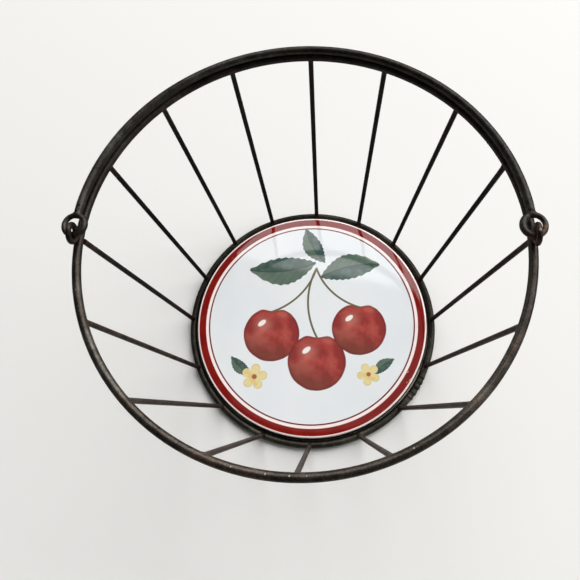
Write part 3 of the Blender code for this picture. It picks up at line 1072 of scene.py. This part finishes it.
tree = white.node_tree
place = add_node("ShaderNodeTexCoord", tree=tree)["Object"]
share = add_node("ShaderNodeMapping", {
    "Vector": place, "Scale": (TILE_RADIUS, TILE_RADIUS, FLATTEN)}, vector_type="TEXTURE")
x, y = split(share)
cloud = remap(noise(place, 0.05, detail=2), 0.3, 0.7)
colour = blend_colours(cloud, paint(231, 235, 237), paint(236, 238, 239))


def lay_motif(colour, group, x_share, y_share, size, degrees=0.0):
    """Lay one motif over what is there."""
    local = seen_from(share, x_share, y_share, math.radians(degrees), size, size)
    motif = add_node("ShaderNodeGroup", {"Where": local}, node_tree=group)
    return blend_colours(motif["Mask"], colour, motif["Colour"])


def lay_stem(colour, end_x, end_y, side):
    """Lay an arc of stem from the join down to a cherry, bulging to one side."""
    start, end = Vector(STEM_JOIN), Vector((end_x, end_y))
    chord = end - start
    bend = chord.length * 1.1
    across = Vector((-chord.y, chord.x)).normalized() * side
    middle = (start + end) / 2 + across * math.sqrt(bend ** 2 - (chord.length / 2) ** 2)
    off = abs(vector_maths("DISTANCE", share, (middle.x, middle.y, 0.0)) - bend)
    from_chord = vector_maths("DISTANCE", share, (*((start + end) / 2), 0.0))
    mask = (remap(off, STEM_WIDTH, STEM_WIDTH * 0.6)
            * remap(y, end_y - 0.01, end_y) * remap(y, start.y + 0.01, start.y)
            * remap(from_chord, chord.length * 0.56, chord.length * 0.52))
    return blend_colours(mask, colour, STEM_GREEN)


for x_share, y_share, size, degrees in LEAVES:
    colour = lay_motif(colour, leaf, x_share, y_share, size, degrees)
for x_share, y_share, size in CHERRIES:
    colour = lay_motif(colour, cherry, x_share, y_share, size)
for (x_share, y_share, size), side in zip(CHERRIES, (-1, 1, 1)):
    colour = lay_stem(colour, x_share, y_share + size * 0.84, side)
for x_share, y_share, size, degrees in BLOSSOMS:
    colour = lay_motif(colour, blossom, x_share, y_share, size, degrees)
print("The print has", len(LEAVES), "leaves and", len(CHERRIES), "cherries")

# %% The border bands
# From outside in, as shares of the tile's radius
BAND_OUTER, BAND_INNER = 0.9856, 0.9259
LINE_MIDDLE, LINE_HALF = 0.8950, 0.0062
SOFT = 0.003
# Marks of wear on the border: bearing, share of the radius, turn, half length and half width
WEAR_MARKS = [(-90.0, 0.9876, 90, 0.0080, 0.0040), (-27.7, 0.9340, 40, 0.0120, 0.0022),
              (-30.5, 0.9790, 55, 0.0180, 0.0020), (-32.5, 0.9700, 60, 0.0110, 0.0016)]

from_middle = vector_maths("LENGTH", share)
border = remap(from_middle, LINE_MIDDLE - 0.012, LINE_MIDDLE)
colour = blend_colours(border, colour, paint(255, 238, 234))
band = (remap(from_middle, BAND_INNER - SOFT, BAND_INNER + SOFT)
        * remap(from_middle, BAND_OUTER + SOFT, BAND_OUTER - SOFT))
red_cloud = remap(noise(place, 0.012, detail=4, seed=3.0), 0.3, 0.7)
colour = blend_colours(band, colour, blend_colours(red_cloud, paint(122, 14, 10),
                                                   paint(136, 27, 20)))
thin = remap(abs(from_middle - LINE_MIDDLE), LINE_HALF + SOFT / 2, LINE_HALF - SOFT / 2)
colour = blend_colours(thin, colour, paint(108, 26, 44))
for bearing, reach, turn, half_length, half_width in WEAR_MARKS:
    at = on_ring(reach, bearing, 0)
    local = seen_from(share, at.x, at.y, math.radians(turn), half_length, half_width)
    mark = remap(vector_maths("LENGTH", local), 1.1, 0.7, 0.0, 0.8)
    colour = blend_colours(mark, colour, paint(240, 214, 206))
wave = noise(place, 0.018, detail=1, seed=8.0)
fill(tree.nodes["Principled BSDF"], {
    "Base Color": colour, "Roughness": 0.05, "Specular IOR Level": 0.4,
    "Normal": add_node("ShaderNodeBump", {"Height": wave, "Strength": 0.2,
                                          "Distance": 0.0002})})
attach(tile, "basket")
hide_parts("tile")
print("The tile's material has", len(tree.nodes), "nodes")

# %% [markdown]
# ## Light and floor
#
# The photo was lit by a broad, soft light from behind the basket and to its right, seen
# mirrored in the top of the tile. A large area lamp there lights the scene at a plain level.
# Small, weak ones stand in for the rest of the room: two give the rods the soft gleam they
# have at the left and at the right of the front, and one overhead is mirrored in the tile's
# front. A dim, even sky fills the shadows. The camera alone sees that sky as pale, so that
# views from the side have a pale backdrop too.

# %% Set up the light and the floor
# Each lamp: bearing and rise in degrees, distance, shift to its right, width, height, level
LAMPS = {"soft_lamp": (79.6, 42.5, 5.0, 3.3, 9.5, 4.9, 4.2),
         "right_fill": (-8.0, 32.0, 3.0, 0.0, 2.6, 2.6, 0.9),
         "left_fill": (131.0, 22.0, 3.0, 0.0, 1.5, 1.7, 1.7),
         "overhead": (77.6, 76.5, 3.0, 0.0, 1.4, 1.0, 0.45)}
SKY_LEVEL = 0.10
BACKDROP_LEVEL = 0.80
FLOOR_SIZE = 4
FLOOR_DROP = 0.0001


def add_lamp(name, bearing, rise, distance, shift, width, height, level):
    """A flat lamp that faces the basket, then moved to its right by the shift."""
    lamp = add_object(name, bpy.data.lights.new(name, "AREA"))
    lamp.data.shape = "RECTANGLE"
    lamp.data.size = width
    lamp.data.size_y = height
    lamp.data.energy = level * math.pi * width * height
    level_share, rise_share = direction(rise)
    to_lamp = on_ring(level_share, bearing, rise_share)
    lamp.rotation_euler = (-to_lamp).to_track_quat("-Z", "Y").to_euler()
    lamp.location = to_lamp * distance + on_ring(shift, bearing - 90, 0)
    lamp.visible_camera = False
    print(name, "gives", round(lamp.data.energy, 1), "W")


for name, settings in LAMPS.items():
    add_lamp(name, *settings)

world = bpy.data.worlds.new("pale_room")
world.use_nodes = True
bpy.context.scene.world = world
seen = add_node("ShaderNodeLightPath", tree=world.node_tree)["Is Camera Ray"]
level = remap(seen, 0.0, 1.0, SKY_LEVEL, BACKDROP_LEVEL, way="LINEAR")
fill(world.node_tree.nodes["Background"], {"Color": grey(level)})

bpy.ops.mesh.primitive_plane_add(size=FLOOR_SIZE, location=(0, 0, -FLOOR_DROP))
floor = bpy.context.object
floor.name = "floor"
floor_finish = new_material("pale_floor")
fill(floor_finish.node_tree.nodes["Principled BSDF"], {
    "Base Color": paint(236, 235, 232), "Roughness": 0.9})
floor.data.materials.append(floor_finish)
print("The floor is", round(floor.dimensions.x, 1), "m wide")
